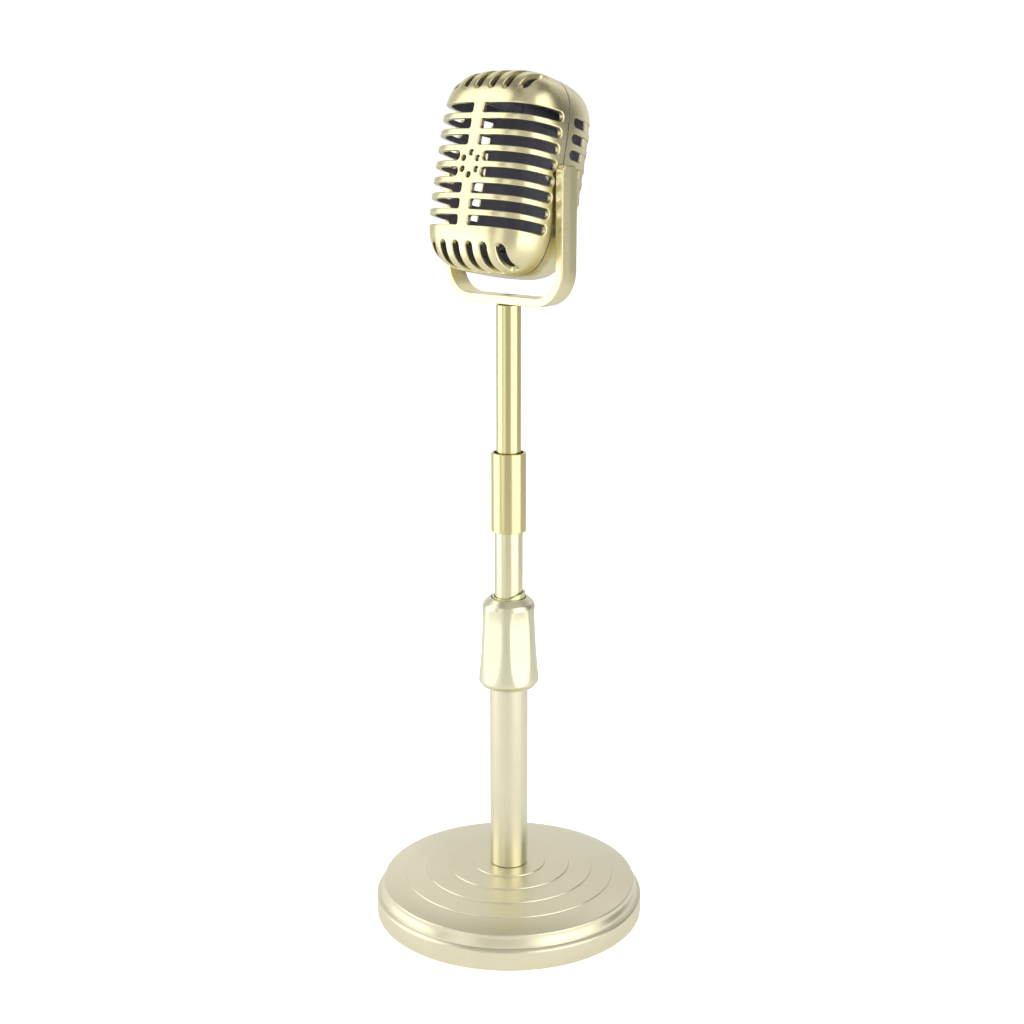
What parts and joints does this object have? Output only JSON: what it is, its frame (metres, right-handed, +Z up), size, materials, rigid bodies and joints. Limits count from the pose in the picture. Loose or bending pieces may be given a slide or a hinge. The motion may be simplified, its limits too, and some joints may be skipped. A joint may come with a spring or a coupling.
{
  "type": "table microphone",
  "caption": "Vintage-style slotted stage-prop microphone, tilting in a U yoke on a telescoping mast with a twist-lock nut and round weighted foot.",
  "frame": {"origin": "centre of the round foot, on the floor", "axes": "+Z up along the mast, grille faces -Y, the head tilts about a line along X"},
  "size_m": [0.125, 0.125, 0.3839],
  "materials": {
    "head_gold": "satin gold lacquer on moulded plastic",
    "yoke_gold": "satin gold lacquer on steel bar",
    "rod_gold": "satin gold lacquer on steel tube",
    "pale_gold": "satin champagne lacquer on steel tube",
    "stand_gold": "matt champagne lacquer on steel tube",
    "stand_plastic": "matt champagne lacquer on moulded plastic",
    "zinc": "zinc plated",
    "nylon": "natural nylon",
    "iron": "black oxide",
    "pad": "foamed rubber sheet"
  },
  "bodies": {
    "stand": {"base_pad": "pad", "base_weight": "iron", "base_cover": "stand_plastic", "base_bolt": "zinc", "base_washer": "zinc", "tube_foot_plug": "zinc", "lower_tube": "stand_gold", "threaded_sleeve": "nylon", "collet": "stand_plastic"},
    "clamp": {"thrust_ring": "nylon"},
    "nut": {"lock_nut": "stand_plastic"},
    "mast": {"inner_tube": "pale_gold", "guide_bushing": "nylon", "joint_plug": "zinc", "collar": "rod_gold", "upper_rod": "rod_gold", "rod_insert": "zinc", "yoke_screw": "zinc"},
    "fork": {"yoke": "yoke_gold", "pivot_screw_left": "zinc", "pivot_screw_right": "zinc", "pivot_washer_left": "zinc", "pivot_washer_right": "zinc"},
    "head": {"front_shell": "head_gold", "rear_shell": "head_gold", "shell_screw_top": "zinc", "shell_screw_bottom": "zinc"}
  },
  "joints": [
    {"name": "mast_slide", "type": "slide", "parent": "stand", "child": "mast", "axis": [0, 0, 1], "range_m": [-0.0275, 0.05]},
    {"name": "nut_rise", "type": "slide", "parent": "stand", "child": "clamp", "axis": [0, 0, 1], "range_m": [0, 0.001]},
    {"name": "nut_turn", "type": "hinge", "parent": "clamp", "child": "nut", "pos_m": [0, 0, 0.13], "axis": [0, 0, 1], "range_deg": [0, 181]},
    {"name": "yoke_swivel", "type": "hinge", "parent": "mast", "child": "fork", "pos_m": [0, 0, 0.2858], "axis": [0, 0, 1], "continuous": true},
    {"name": "head_tilt", "type": "hinge", "parent": "fork", "child": "head", "pos_m": [0, 0, 0.3406], "axis": [1, 0, 0], "continuous": true}
  ],
  "couplings": [
    {"joint": "nut_turn", "follows": "nut_rise", "rad_per_m": 3141.6}
  ]
}
